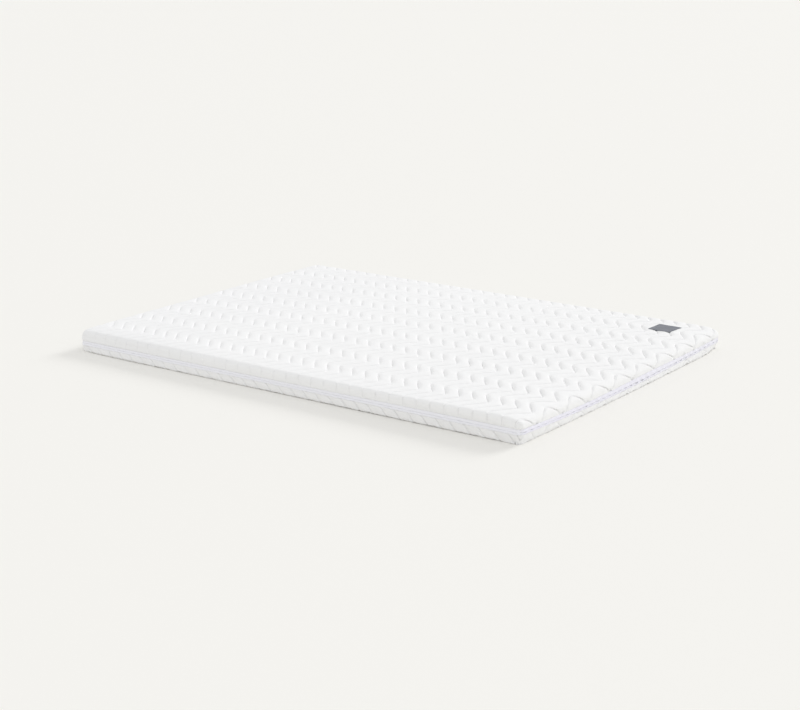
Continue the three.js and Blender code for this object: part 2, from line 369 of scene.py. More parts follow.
TOP = SimpleNamespace(
    name="quilted_top", up=1, roll=0.022, wall=0.008, lean=0.0,
    channel=0.0044, slack_leg=0.22, outer_line=0.9580, peak=-0.6077, upright=0.7,
    face=crest_height,
    seam=lambda x, y: zip_height(x, y) + ZIP_BAND / 2 + tape_extra(1, x, y),
)
BOTTOM = SimpleNamespace(
    name="quilted_bottom", up=-1, roll=0.006, wall=0.0233, lean=0.0005,
    channel=0.0030, slack_leg=1.0, outer_line=0.9683, peak=-0.6677, upright=0.0,
    face=lambda x, y: np.zeros_like(x),
    seam=lambda x, y: zip_height(x, y) - ZIP_BAND / 2 - tape_extra(-1, x, y),
)


def line_swing(cover, t):
    """Sideways swing of a stitch line at t. Over the long sides the top's lines run nearly upright."""
    beyond = t - np.clip(t, -INNER_Y - UPRIGHT_START, INNER_Y + UPRIGHT_START)
    turns = (t - cover.upright * beyond - cover.peak) / ZIGZAG_REPEAT
    wave = np.arcsin(TIP_SHARPNESS * np.cos(2 * math.pi * turns)) / math.asin(TIP_SHARPNESS)
    return ZIGZAG_SWING / 2 * wave + LINE_SKEW * (t + HALF_WIDTH)


def line_place(cover, number, t):
    """Where stitch line number runs at t, before the seam cuts it off. Line 0 is at the +X end."""
    return cover.outer_line - number * LINE_PITCH + line_swing(cover, t)


def line_share(cover, s, t):
    """Share of the way from one stitch line to the next towards the left end."""
    return np.mod((line_place(cover, 0, t) - s) / LINE_PITCH, 1)


print("stitch lines", LINE_COUNT, "across", round(2 * (INNER_Y + panel_reach(TOP)[2]), 3), "m of panel")

# %% [markdown]
# ## Rows and columns of the panel mesh
#
# The mesh follows the sewing: its columns are the stitch lines with a fixed number of columns between
# each two, so every channel is a clean edge loop. A plain square grid would cut the zigzag into steps.
# Columns crowd together beside the lines, where the cloth dives into the channel, and rows crowd
# together where the panel rolls over the edge.

# %% Grid of the panel
TOP.columns, TOP.rows_per_leg = (0, 0.03, 0.075, 0.17, 0.38, 0.62, 0.79, 0.88, 0.93, 0.97), 12
BOTTOM.columns, BOTTOM.rows_per_leg = (0, 0.04, 0.12, 0.26, 0.50, 0.74, 0.88, 0.96), 9
TOP.roll_rows, TOP.wall_rows = 9, 4
BOTTOM.roll_rows, BOTTOM.wall_rows = 6, 5


def panel_rows(cover):
    """Places of the rows on the panel, from the front seam to the back seam."""
    flat, rolled, seam = panel_reach(cover)
    roll_start = INNER_Y + flat
    step = ZIGZAG_REPEAT / 2 / cover.rows_per_leg
    first = math.ceil((-roll_start + step / 2 - cover.peak) / step)
    last = math.floor((roll_start - step / 2 - cover.peak) / step)
    middle = cover.peak + step * np.arange(first, last + 1)
    rolling = np.linspace(roll_start, INNER_Y + rolled, cover.roll_rows + 1)
    walling = np.linspace(INNER_Y + rolled, INNER_Y + seam, cover.wall_rows + 1)[1:]
    rim = np.concatenate([rolling, walling])
    return np.concatenate([-rim[::-1], middle, rim])


def panel_grid(cover):
    """Grid of panel points: their s and t, and which of them lie on a stitch line."""
    rows = panel_rows(cover)
    edge = INNER_X + panel_reach(cover)[2]
    limit = edge - LINE_MARGIN
    lines = np.array([line_place(cover, i, rows) for i in range(LINE_COUNT - 1, -1, -1)])
    stops = np.stack([np.full_like(rows, -edge), *np.clip(lines, -limit, limit), np.full_like(rows, edge)])
    parts = np.array(cover.columns)[:, None]
    strips = [low + parts * (high - low) for low, high in zip(stops[:-1], stops[1:])]
    s = np.concatenate([*strips, stops[-1:]]).T
    sewn = np.zeros_like(s, dtype=bool)
    first = len(cover.columns)
    sewn[:, first : first * (LINE_COUNT + 1) : first] = (np.abs(lines) < limit).T
    sewn[[0, -1], :] = sewn[:, [0, -1]] = True
    return SimpleNamespace(s=s, t=np.repeat(rows[:, None], s.shape[1], axis=1), sewn=sewn)


for cover in (TOP, BOTTOM):
    cover.grid = panel_grid(cover)
    print(cover.name, "grid", cover.grid.s.shape, "points", cover.grid.s.size)

# %% [markdown]
# ## How deep the cloth is sewn down
#
# The thread pulls the cloth down into the wadding, which gives way steeply beside the stitches and less
# and less away from them. An exponential has just that section: a narrow channel, steeper on one flank
# than on the other, between broad and nearly flat crests. On the top every second leg of the zigzag has
# less pull, because the cloth gives that way, so it is only a faint groove. The thread was tightest at
# the +X end and slackest along the far side. On the long sides the cloth is pulled tight over the edge,
# so the channels all but vanish there, and at the zip everything is sewn flat. The label's seam also
# holds the quilting flat.

# %% Depth of the quilting
LEG_COSINE = 0.82  # a leg of the zigzag leans, so the cloth between two lines is narrower across it
STEEP_FLANK = 0.0017
BROAD_FLANK = 0.0037
FLANK_FORM = 1.6
SOFT_SHARE, SOFT_FLANK = 0.16, 0.0130
TIGHT_FLANK, TIGHT_NARROWS = 0.0006, 0.6
SLACK_START, SLACK_SPAN, SLACK_NARROWS = 0.25, 0.6, 0.20
LEG_FORM = 1.1
PULL, PULL_TO_RIGHT = 1.24, 0.20
FAR_CALM, CALM_START, CALM_SPAN, CALM_END = 0.28, 0.72, 0.15, 0.8
SEWN_FLAT = 0.7
TOP.on_end, TOP.on_side = 0.65, 0.34
BOTTOM.on_end, BOTTOM.on_side = 0.40, 0.85
TOP.slack_pull, BOTTOM.slack_pull = 1.05, 0.25
TOP.seam_fade, BOTTOM.seam_fade = 0.012, 0.006
SIDE_FADE, SIDE_SHARE, SIDE_TURN = 0.014, 0.4, 0.6
CREST_BULGE = 0.0004
POCKET_DEPTH, POCKET_WIDTH = 0.0045, 0.0050
CREASE_DEPTH, CREASE_WIDTH, CREASE_START, CREASE_RISE = 0.0015, 0.004, 0.004, 0.015
LABEL_PLACE = (0.7945, 0.5560)
LABEL_SIZE = (0.092, 0.093)
LABEL_FLATTENS = 0.75
LABEL_MARGIN = 0.018


def corner_crease(cover, s, t):
    """Extra depth of the crease where the panel is taken in at a corner."""
    a, b = np.abs(s) - INNER_X, np.abs(t) - INNER_Y
    flat = panel_reach(cover)[0]
    along = smooth((np.minimum(a, b) - flat - CREASE_START) / CREASE_RISE)
    return CREASE_DEPTH * along * bell(a - b, CREASE_WIDTH)


def seam_pockets(cover, s, t):
    """Small pockets at the +X end, where the turning points of the outermost line meet the seam."""
    turn = np.mod((t - cover.peak) / ZIGZAG_REPEAT + 0.5, 1) - 0.5
    from_turn = turn * ZIGZAG_REPEAT / POCKET_WIDTH
    from_seam = (INNER_X + panel_reach(cover)[2] - s) / POCKET_WIDTH
    return POCKET_DEPTH * np.exp(-(from_turn**2) - from_seam**2)


def below_label(cover, s, t):
    """1 below the label, whose seam holds the quilting flat, and 0 a little way outside it."""
    if cover.up < 0:
        return 0 * s
    from_edge = [np.abs(at - place) - size / 2 for at, place, size in zip((s, t), LABEL_PLACE, LABEL_SIZE)]
    return smooth(1 - from_edge[0] / LABEL_MARGIN) * smooth(1 - from_edge[1] / LABEL_MARGIN)


def over_edge(cover, s, t):
    """How far over the edge a point lies, from 0 to 1: over the short sides, and over the long sides."""
    _, _, out_x, out_y, reach = panel_foot(s, t)
    flat, rolled, _ = panel_reach(cover)
    end = smooth((reach - flat) / (rolled - flat))
    side = smooth((np.abs(t) - INNER_Y - flat + SIDE_FADE) / (SIDE_SHARE * (rolled - flat) + SIDE_FADE))
    sideways = smooth((np.abs(out_y) - np.abs(out_x)) / SIDE_TURN + 0.5)
    return end * (1 - sideways), side * sideways


def channel_section(share, tight, slack):
    """Depth of the cloth on its way between two stitch lines, as a share of the channel's depth."""
    width = LINE_PITCH * LEG_COSINE
    flanks = (STEEP_FLANK, BROAD_FLANK * (1 - SLACK_NARROWS * slack))
    steep, broad = (flank * (1 - TIGHT_NARROWS * tight) + TIGHT_FLANK * tight for flank in flanks)
    before, after = share * width, (1 - share) * width
    soft = SOFT_SHARE * (1 - tight) * np.exp(-after / SOFT_FLANK)
    return np.exp(-((before / steep) ** FLANK_FORM)) + np.exp(-((after / broad) ** FLANK_FORM)) + soft


def thread_pull(cover, s, t, slack):
    """How hard the thread pulls: harder towards the +X end, less along the far side and at the label."""
    calm = FAR_CALM * smooth((t / HALF_WIDTH - CALM_START) / CALM_SPAN) * smooth(CALM_END - s / HALF_LENGTH)
    pull = (PULL + PULL_TO_RIGHT * s / HALF_LENGTH + cover.slack_pull * slack) * (1 - calm)
    return pull * (1 - LABEL_FLATTENS * below_label(cover, s, t))


def quilt_depth(cover, s, t):
    """How far a panel point lies below the crests."""
    ends, sides = over_edge(cover, s, t)
    tight = ends + sides
    left = 1 - (1 - cover.on_end) * ends - (1 - cover.on_side) * sides
    leg = np.sin(2 * math.pi * (t - cover.peak) / ZIGZAG_REPEAT)
    spare = 1 - cover.slack_leg
    left = left * (cover.slack_leg + spare * np.clip(leg, 0, 1) ** LEG_FORM * (1 - tight) + spare * tight)
    share = line_share(cover, s, t)
    slack = smooth((s / HALF_LENGTH - SLACK_START) / SLACK_SPAN)
    channel = cover.channel * channel_section(share, tight, slack) * thread_pull(cover, s, t, slack)
    bulge = CREST_BULGE * (1 - 4 * share * (1 - share))
    from_seam = panel_foot(s, t)[4] - panel_reach(cover)[2]
    drawn = smooth((from_seam + cover.seam_fade) / cover.seam_fade)
    sunk = (channel + bulge) * left * (1 - SEWN_FLAT * drawn) + SEAM_DRAW * drawn
    return sunk + corner_crease(cover, s, t) + seam_pockets(cover, s, t)


for cover in (TOP, BOTTOM):
    cover.sunk = quilt_depth(cover, cover.grid.s, cover.grid.t)
    cover.sunk[[0, -1], :] = cover.sunk[:, [0, -1]] = SEAM_DRAW
    cover.points = panel_place(cover, cover.grid.s, cover.grid.t, cover.sunk)
    print(cover.name, "low", cover.points.min((0, 1)).round(4), "high", cover.points.max((0, 1)).round(4))

# %% [markdown]
# ## Letting the cloth settle
#
# A formula makes every puff alike. Real knitted cloth is a little longer than the wadding below it, and
# where that spare length goes is left to chance, so it puckers beside the stitches. Blender's cloth
# simulation finds such puckers: the stitches are pinned, the cloth is given some spare length and a slight
# pressure from inside, and gravity is off, because the wadding carries the cloth. A point may move only
# a little from the formula's shape, and the result goes straight into the points.

# %% Mesh helper
def add_mesh(name, points, faces, places=None):
    """A smooth mesh object at the origin, with its UV map if places are given."""
    mesh = bpy.data.meshes.new(name)
    mesh.from_pydata(np.asarray(points).tolist(), [], faces if isinstance(faces, list) else faces.tolist())
    mesh.shade_smooth()
    if places is not None:
        corner = np.zeros(len(mesh.loops), dtype=np.int32)
        mesh.loops.foreach_get("vertex_index", corner)
        mesh.uv_layers.new(name="cloth").data.foreach_set("uv", np.asarray(places)[corner].ravel())
    thing = bpy.data.objects.new(name, mesh)
    bpy.context.scene.collection.objects.link(thing)
    return thing


def grid_quads(rows, across):
    """Quads between the points of a grid, facing up."""
    a = (np.arange(rows - 1)[:, None] * across + np.arange(across - 1)).ravel()
    return np.stack([a, a + 1, a + 1 + across, a + across], axis=1)


# %% Cloth simulation
SETTLE_FRAMES = 10
SETTLE_CAP = 0.0016
SETTLE_SHARE = 0.45
UNEVENNESS = 0.0002
CLOTH = {
    "vertex_group_mass": "stitches",
    "mass": 0.0004,
    "quality": 3,
    "tension_stiffness": 8,
    "compression_stiffness": 8,
    "shear_stiffness": 4,
    "bending_stiffness": 0.05,
    "air_damping": 2,
    "shrink_min": -0.012,  # spare length, as a share
    "use_pressure": True,
    "uniform_pressure_force": 12.0,
}


def settle(cover, seed):
    """Simulate the cloth between its stitches and add the movement to the panel points."""
    chance = np.random.default_rng(seed)
    start = cover.points + chance.normal(0, UNEVENNESS, cover.points.shape) * ~cover.grid.sewn[..., None]
    quads = grid_quads(*cover.grid.s.shape)[:, :: cover.up]
    cloth = add_mesh(cover.name + "_trial", start.reshape(-1, 3), quads)
    stitches = cloth.vertex_groups.new(name="stitches")
    stitches.add(np.flatnonzero(cover.grid.sewn).tolist(), 1.0, "REPLACE")
    modifier = cloth.modifiers.new("swell", "CLOTH")
    modifier.point_cache.frame_end = SETTLE_FRAMES
    modifier.settings.effector_weights.gravity = 0
    for name, value in CLOTH.items():
        setattr(modifier.settings, name, value)
    for moment in range(1, SETTLE_FRAMES + 1):
        bpy.context.scene.frame_set(moment)
    settled = cloth.evaluated_get(bpy.context.evaluated_depsgraph_get())
    points = np.zeros(3 * len(settled.data.vertices))
    settled.data.vertices.foreach_get("co", points)
    moved = SETTLE_SHARE * (points.reshape(cover.points.shape) - cover.points)
    length = np.linalg.norm(moved, axis=-1, keepdims=True)
    moved = moved * np.minimum(1, SETTLE_CAP / np.maximum(length, 1e-9))
    bpy.context.scene.frame_set(1)
    bpy.data.objects.remove(cloth)
    print(cover.name, "moved", (np.percentile(length, (50, 90, 99)) * 1000).round(2), "mm")
    cover.points = cover.points + moved
    if cover.up < 0:
        cover.points[..., 2] = np.maximum(0, cover.points[..., 2])


settle(TOP, seed=4)
settle(BOTTOM, seed=5)

# %% [markdown]
# ## Closing each half
#
# Each half is one closed body. At the seam the panel turns in over a narrow ledge to the recess that the
# zip lies in, and a parting face closes the body behind it. Nobody sees that face, but it makes the mesh
# a true solid, so it can be weighed, printed or cut.

# %% Closed mesh of a half
RECESS = 0.003
HALF_GAP = 0.00015


def rim_indices(rows, across):
    """Grid indices once round the rim, against the clock seen from above."""
    front = [(0, i) for i in range(across - 1)]
    right = [(j, across - 1) for j in range(rows - 1)]
    back = [(rows - 1, i) for i in range(across - 1, 0, -1)]
    left = [(j, 0) for j in range(rows - 1, 0, -1)]
    return np.array(front + right + back + left)


def ring_faces(start, end, count):
    """Quads between two closed loops of the same length."""
    here = np.arange(count)
    after = (here + 1) % count
    return np.stack([start + here, end + here, end + after, start + after], axis=1)


def rim_points(s, t, inset, height):
    """Points on the rim of the recess, inset from the side."""
    x, y, out_x, out_y, _ = panel_foot(s, t)
    out = CORNER_REACH - inset
    return np.stack([*draw_in(x + out_x * out, y + out_y * out), height(x, y)], axis=-1)


def closed_half(cover):
    """Points, faces and UV places of one half of the cover."""
    rows, across = cover.grid.s.shape
    quads = [grid_quads(rows, across)]
    j, i = rim_indices(rows, across).T
    s, t = cover.grid.s[j, i], cover.grid.t[j, i]
    inset = SEAM_DRAW + RECESS
    ledge = rim_points(s, t, inset, cover.seam)
    parting = rim_points(s, t, inset, lambda x, y: zip_height(x, y) + cover.up * HALF_GAP)
    middle = [[0, 0, zip_height(0.0, 0.0) + cover.up * HALF_GAP]]
    start, count = rows * across, len(s)
    points = np.concatenate([cover.points.reshape(-1, 3), ledge, parting, middle])
    rim = j * across + i
    after = np.roll(rim, -1)
    here = start + np.arange(count)
    quads.append(np.stack([rim, here, np.roll(here, -1), after], axis=1))
    quads.append(ring_faces(start, start + count, count))
    last = start + 2 * count
    fan = [[start + count + k, last, start + count + (k + 1) % count] for k in range(count)]
    on_panel = np.stack([cover.grid.s, cover.grid.t], axis=-1).reshape(-1, 2)
    on_rim = np.stack([s, t], axis=-1)
    places = np.concatenate([on_panel, on_rim, on_rim, [[0, 0]]])
    faces = np.concatenate(quads).tolist() + fan
    if cover.up > 0:
        return points, faces, places
    return points, [face[::-1] for face in faces], places


for cover in (TOP, BOTTOM):
    cover.piece = add_mesh(cover.name, *closed_half(cover))
    print(cover.name, "faces", len(cover.piece.data.polygons))

# %% [markdown]
# ## The zip
#
# A long nylon zip is two woven tapes with a coil sewn to the edge of each. It is sewn in between the two
# halves of the cover. The tapes are slightly longer than the cover that holds them, so they ripple, and
# their lips close over the coil here and open there: that is why the coil shows as a broken line.
#
# Everything of the zip follows one loop round the side, so the loop is made first, as a list of stations
# with their outward direction and their length along the zip.

# %% Loop round the side
ZIP_RADIUS = CORNER_REACH - SEAM_DRAW + 0.0002
CORNER_STATIONS = 24
RIPPLE_LENGTH = 0.040


def side_loop(step):
    """Stations once round the side, against the clock seen from above, with their length along it."""
    corners = [(1, -1), (1, 1), (-1, 1), (-1, -1)]
    stations = []
    for k, (sign_x, sign_y) in enumerate(corners):
        next_x, next_y = corners[(k + 1) % 4]
        share = np.linspace(0, 1, CORNER_STATIONS + 1)
        turn = math.pi / 2 * (share if sign_x == sign_y else 1 - share)
        out_x, out_y = outward(sign_x, sign_y, turn)
        stations.append(np.stack([0 * turn + sign_x * INNER_X, 0 * turn + sign_y * INNER_Y, out_x, out_y]))
        span = math.hypot((next_x - sign_x) * INNER_X, (next_y - sign_y) * INNER_Y)
        along = np.linspace(0, 1, math.ceil(span / step) + 1)[1:-1]
        x = INNER_X * (sign_x + (next_x - sign_x) * along)
        y = INNER_Y * (sign_y + (next_y - sign_y) * along)
        stations.append(np.stack([x, y, 0 * x + out_x[-1], 0 * x + out_y[-1]]))
    x, y, out_x, out_y = np.concatenate(stations, axis=1)
    plan = np.stack(draw_in(x + out_x * ZIP_RADIUS, y + out_y * ZIP_RADIUS))
    steps = np.hypot(*(np.roll(plan, -1, axis=1) - plan))
    length = np.concatenate([[0], np.cumsum(steps)])
    return SimpleNamespace(x=x, y=y, out_x=out_x, out_y=out_y, along=length[:-1], total=length[-1])


def side_place(loop, radius, rise):
    """Places at a distance out from the inner rectangle, and at a height above the middle of the zip."""
    radius = radius - corner_pinch(loop.x, loop.y, loop.out_x, loop.out_y)
    plan = draw_in(loop.x + loop.out_x * radius, loop.y + loop.out_y * radius)
    return np.stack([*plan, zip_height(loop.x, loop.y) + rise], axis=-1)


def ripple(loop, seed):
    """An even wave round the whole loop, strongest towards the far end of the +X side."""
    waves = round(loop.total / RIPPLE_LENGTH)
    angle = 2 * math.pi * loop.along / loop.total
    slow = 0.6 + 0.25 * np.sin(17 * angle + seed) + 0.15 * np.sin(41 * angle + 2 * seed)
    strength = 0.2 + smooth(loop.out_x) * (0.4 + 0.5 * smooth((loop.y / HALF_WIDTH + 1) / 2))
    return strength * slow * np.sin(waves * angle + 1.3 * np.sin(9 * angle + seed))


loop = side_loop(0.005)
print("zip", round(loop.total, 3), "m round,", loop.x.size, "stations")

# %% [markdown]
# Each tape is a closed strip with a section of eight points, from the lip over the coil to the outer
# edge under the rim of the cover.

# %% Zip tapes
TAPE_SECTION = [
    (-0.0016, 0.0014),
    (0.0003, 0.0010),
    (0.0005, 0.0018),
    (0.0004, 0.0036),
    (0.0001, 0.0054),
    (-0.0001, 0.0070),
    (-0.0014, 0.0070),
    (-0.0018, 0.0040),
]
TAPE_WAVE = 0.0020
LIP_CLOSE, LIP_GAPE = 0.0009, 0.0026
LIP_END, LIP_FADE = 0.0045, 0.003


def tape(name, up, seed):
    """One tape of the zip. up is 1 for the upper tape and -1 for the lower one."""
    wave = ripple(loop, seed)
    gape = LIP_GAPE * np.maximum(0, ripple(loop, 1.1)) * (0.25 + 0.75 * smooth(loop.out_x))
    extra = tape_extra(up, loop.x, loop.y)
    first, last = TAPE_SECTION[1][1], TAPE_SECTION[5][1]
    rings = []
    for out, rise in TAPE_SECTION:
        near_coil = smooth((LIP_END - rise) / LIP_FADE)
        radius = ZIP_RADIUS + out + TAPE_WAVE * wave * (0.4 + 0.6 * near_coil)
        radius = radius + seam_step(loop.out_x, loop.out_y) * (up < 0) * rise / last
        stretched = rise + extra * (rise - first) / (last - first)
        height = up * (stretched + near_coil * (gape - LIP_CLOSE))
        rings.append(side_place(loop, radius, height))
    count, sides = loop.x.size, len(rings)
    faces = np.concatenate([ring_faces(k * count, (k + 1) % sides * count, count) for k in range(sides)])
    across = np.repeat([rise for _, rise in TAPE_SECTION], count)
    places = np.stack([np.tile(loop.along, sides), across], axis=-1)
    return add_mesh(name, np.concatenate(rings), faces[:, ::-up], places)


upper_tape = tape("zip_tape_upper_cloth", 1, 0.4)
lower_tape = tape("zip_tape_lower_cloth", -1, 2.1)
print("tapes", len(upper_tape.data.polygons), "faces each")

# %% [markdown]
# The coil is two rows of bent nylon wire that hook into each other. From outside it is a fine ladder of
# small arches, so each arch is made once as a few numbers and then set out along the loop by arrays, all
# in one mesh. A strip behind the arches closes the gap between the tapes.

# %% Zip coil
COIL_PITCH = 0.0022
ARCH_RISES = (-0.0017, -0.0007, 0.0007, 0.0017)
ARCH_OUTS = (-0.0009, -0.0004, -0.0004, -0.0009)
ARCH_HALF_WIDTH = 0.00075
ARCH_THICK = 0.0008
STAGGER = 0.00025
STRIP_SECTION = ((0.0013, -0.0024), (0.0013, 0.0024), (0.0021, 0.0024), (0.0021, -0.0024))


def loop_at(along):
    """Stations of the loop at any length along it."""
    ends = np.append(loop.along, loop.total)
    found = SimpleNamespace(along=along)
    for name in ("x", "y", "out_x", "out_y"):
        values = getattr(loop, name)
        setattr(found, name, np.interp(along % loop.total, ends, np.append(values, values[0])))
    return found


def coil():
    """All the arches of the coil and the strip behind them."""
    count = round(loop.total / COIL_PITCH)
    middle = np.arange(count) * loop.total / count
    shift = np.where(np.arange(count) % 2 == 0, STAGGER, -STAGGER)
    corners = []
    for rise, out in zip(ARCH_RISES, ARCH_OUTS):
        for side, back in ((-1, 0), (1, 0), (1, 1), (-1, 1)):
            place = loop_at(middle + side * ARCH_HALF_WIDTH)
            corners.append(side_place(place, ZIP_RADIUS + out - back * ARCH_THICK, rise + shift))
    points = np.stack(corners, axis=1).reshape(-1, 3)
    edges = ((0, 1), (1, 2), (2, 3), (3, 0))
    arch = [[4 * k + a, 4 * k + b, 4 * k + 4 + b, 4 * k + 4 + a] for k in range(3) for a, b in edges]
    arch += [[3, 2, 1, 0], [12, 13, 14, 15]]
    faces = (np.array(arch)[None] + 16 * np.arange(count)[:, None, None]).reshape(-1, 4)
    strip = [side_place(loop, ZIP_RADIUS - inside, rise) for inside, rise in STRIP_SECTION]
    start, stations = len(points), loop.x.size
    rings = [ring_faces(start + (k + 1) % 4 * stations, start + k * stations, stations) for k in range(4)]
    return add_mesh("zip_coil", np.concatenate([points, *strip]), np.concatenate([faces, *rings]))


zip_coil = coil()
print("coil arches", round(loop.total / COIL_PITCH))

# %% [markdown]
# ## The label
#
# A label patch is a square of firm dark cloth, turned in at its edges and sewn on round its rim. It
# can't follow every channel, so it spans the narrow ones and sags a little over them. Rays cast down on
# the settled cover find its height in two small circles round each point, and the patch lies at the
# highest of those, a little lower over a channel.

# %% Label
LABEL_STEPS = 44
LABEL_THICK = 0.0011
LABEL_SPAN = 0.014
LABEL_SAG = 0.0008
LABEL_SKEW = 0.008
LABEL_LIFT = 0.0003
RIM_START, RIM_THINS = 0.93, 0.45
RAY_START = 0.2


def cover_height(x, y):
    """Height of the settled cover below a point of the plan."""
    hit, place, _, _ = TOP.piece.ray_cast((x, y, RAY_START), (0, 0, -1))
    return place.z if hit else 0.0


def label_height(x, y):
    """Height at which the patch lies: it spans the channels, and sags over them a little."""
    turns = [k * math.pi / 4 for k in range(8)]
    around = [(r * math.cos(a), r * math.sin(a)) for r in (LABEL_SPAN / 2, LABEL_SPAN) for a in turns]
    nearby = [cover_height(x + dx, y + dy) for dx, dy in around]
    here = cover_height(x, y)
    sag = LABEL_SAG * math.exp(-line_distance(TOP, x, y) / LABEL_SPAN)
    return max(max(nearby) - sag, here, sum(nearby) / len(nearby)) + LABEL_LIFT


def line_distance(cover, s, t):
    """Distance from the nearest stitch line, across it."""
    share = line_share(cover, s, t)
    return np.minimum(share, 1 - share) * LINE_PITCH * LEG_COSINE


def skewed(x, y):
    """The patch is cut a little askew, so its near right corner lies further left."""
    share_x, share_y = ((at - LABEL_PLACE[k]) / LABEL_SIZE[k] for k, at in enumerate((x, y)))
    return x - LABEL_SKEW * (share_x + 0.5) * (0.5 - share_y)


def label_patch():
    """The patch as one closed sheet."""
    share = np.linspace(-0.5, 0.5, LABEL_STEPS + 1)
    along, across = (LABEL_PLACE[k] + share * LABEL_SIZE[k] for k in (0, 1))
    x, y = np.meshgrid(along, across)
    x = skewed(x, y)
    rest = np.array([label_height(a, b) for a, b in zip(x.ravel(), y.ravel())]).reshape(x.shape)
    from_middle = np.maximum(np.abs(share)[None, :], np.abs(share)[:, None]) * 2
    thick = LABEL_THICK * (1 - RIM_THINS * smooth((from_middle - RIM_START) / 0.07))
    under = np.stack([x, y, rest], axis=-1).reshape(-1, 3)
    over = under + np.array([0, 0, 1]) * thick.reshape(-1, 1)
    count = LABEL_STEPS + 1
    quads = grid_quads(count, count)
    j, i = rim_indices(count, count).T
    rim, layer = j * count + i, count * count
    after = np.roll(rim, -1)
    sides = np.stack([rim, after, after + layer, rim + layer], axis=1)
    places = np.stack([x.ravel() - LABEL_PLACE[0], y.ravel() - LABEL_PLACE[1]], axis=-1)
    faces = np.concatenate([quads + layer, quads[:, ::-1], sides])
    return add_mesh("label_patch", np.concatenate([under, over]), faces, np.concatenate([places, places]))


label = label_patch()
print("label", LABEL_SIZE, "top", round(max(v.co.z for v in label.data.vertices), 4))

# %% [markdown]
# ## The stitches
#
# Every line of the quilting is a row of thread stitches, each a short bead that sinks in at both ends.
# A spindle of eight triangles is enough for one. The rows follow the same formula as the channels, so
# each stitch lies at the bottom of its channel, and numpy sets out thousands at once as a single mesh.

# %% Rows of stitches
THREAD = SimpleNamespace(pitch=0.0050, length=0.0038, width=0.00035, raised=0.6)
SPINDLE = [[0, 1, 2], [0, 2, 3], [0, 3, 4], [0, 4, 1], [5, 2, 1], [5, 3, 2], [5, 4, 3], [5, 1, 4]]


def unit(vectors):
    """Vectors of length 1 in the same directions."""
    return vectors / np.linalg.norm(vectors, axis=-1, keepdims=True)


def stitch_rows(name, middle, along, out, length=THREAD.length):
    """Stitches at the middles, as one mesh of spindles along the row and raised out of the cloth."""
    along, out = unit(along), unit(out)
    side = np.cross(along, out) * THREAD.width
    out = out * THREAD.width
    tips = (middle - along * length / 2, middle + along * length / 2)
    corners = [tips[0], middle + side, middle + out, middle - side, middle - out, tips[1]]
    points = np.stack(corners, axis=1).reshape(-1, 3)
    faces = (np.array(SPINDLE)[None] + 6 * np.arange(len(middle))[:, None, None]).reshape(-1, 3)
    return add_mesh(name, points, faces)


def even_steps(points, pitch):
    """Shares along a row of points at which stitches lie, one pitch apart."""
    length = np.concatenate([[0], np.cumsum(np.linalg.norm(np.diff(points, axis=0), axis=1))])
    wanted = np.arange(pitch / 2, length[-1], pitch)
    return np.interp(wanted, length, np.arange(len(points)))


def between(points, where):
    """Points of a row at places between its own."""
    own = np.arange(len(points))
    return np.stack([np.interp(where, own, column) for column in points.T], axis=-1)


def quilting_thread(cover):
    """The stitches on all the lines of one half."""
    seam = panel_reach(cover)[2] - 0.004
    fine = np.arange(-INNER_Y - seam, INNER_Y + seam, 0.001)
    middles, alongs, outs = [], [], []
    for number in range(LINE_COUNT):
        s = line_place(cover, number, fine)
        inside = np.abs(s) < INNER_X + seam
        s, t = s[inside], fine[inside]
        places = panel_place(cover, s, t, quilt_depth(cover, s, t))
        raised = panel_place(cover, s, t, 0 * s) - panel_place(cover, s, t, 0 * s + 0.001)
        raised[:, 2] += 1e-6 * cover.up
        at = even_steps(places, THREAD.pitch)
        middles.append(between(places, at))
        alongs.append(between(places, at + 0.5) - between(places, at - 0.5))
        outs.append(between(raised, at))
    along, out = np.concatenate(alongs), np.concatenate(outs)
    middle = np.concatenate(middles) + unit(out) * THREAD.width * THREAD.raised
    climb = np.abs(along[:, 2]) / np.linalg.norm(along, axis=-1)
    above_floor = climb * THREAD.length / 2 + THREAD.width
    middle[:, 2] = np.maximum(middle[:, 2], above_floor)
    return stitch_rows(cover.name + "_thread", middle, along, out)


for cover in (TOP, BOTTOM):
    cover.thread = quilting_thread(cover)
    print(cover.name, "stitches", len(cover.thread.data.vertices) // 6)

# %% [markdown]
# Each tape of the zip is sewn down by one row along its middle, and the label by a row all round, close
# to its edge.

# %% Stitches of the zip and the label
ZIP_STITCHES = SimpleNamespace(pitch=0.0032, length=0.0024, rise=0.0050, out=0.0001)
ROW_RISE, ROW_OUT = 0.8, 0.7  # how much of the tape's extra width and step the row follows
LABEL_SEAM_INSET = 0.0035


def zip_thread():
    """One row of stitches on each tape."""
    count = round(loop.total / ZIP_STITCHES.pitch)
    station = loop_at(np.arange(count) * loop.total / count)
    ahead = loop_at(station.along + 0.001)
    middles, alongs = [], []
    for up in (1, -1):
        rise = up * (ZIP_STITCHES.rise + ROW_RISE * tape_extra(up, station.x, station.y))
        step = ROW_OUT * seam_step(station.out_x, station.out_y) * (up < 0)
        radius = ZIP_RADIUS + ZIP_STITCHES.out + step
        middles.append(side_place(station, radius, rise))
        alongs.append(side_place(ahead, radius, rise) - middles[-1])
    middle, along = np.concatenate(middles), np.concatenate(alongs)
    out = np.stack([station.out_x, station.out_y, 0 * station.x], axis=-1)
    return stitch_rows("zip_thread", middle, along, np.tile(out, (2, 1)), ZIP_STITCHES.length)


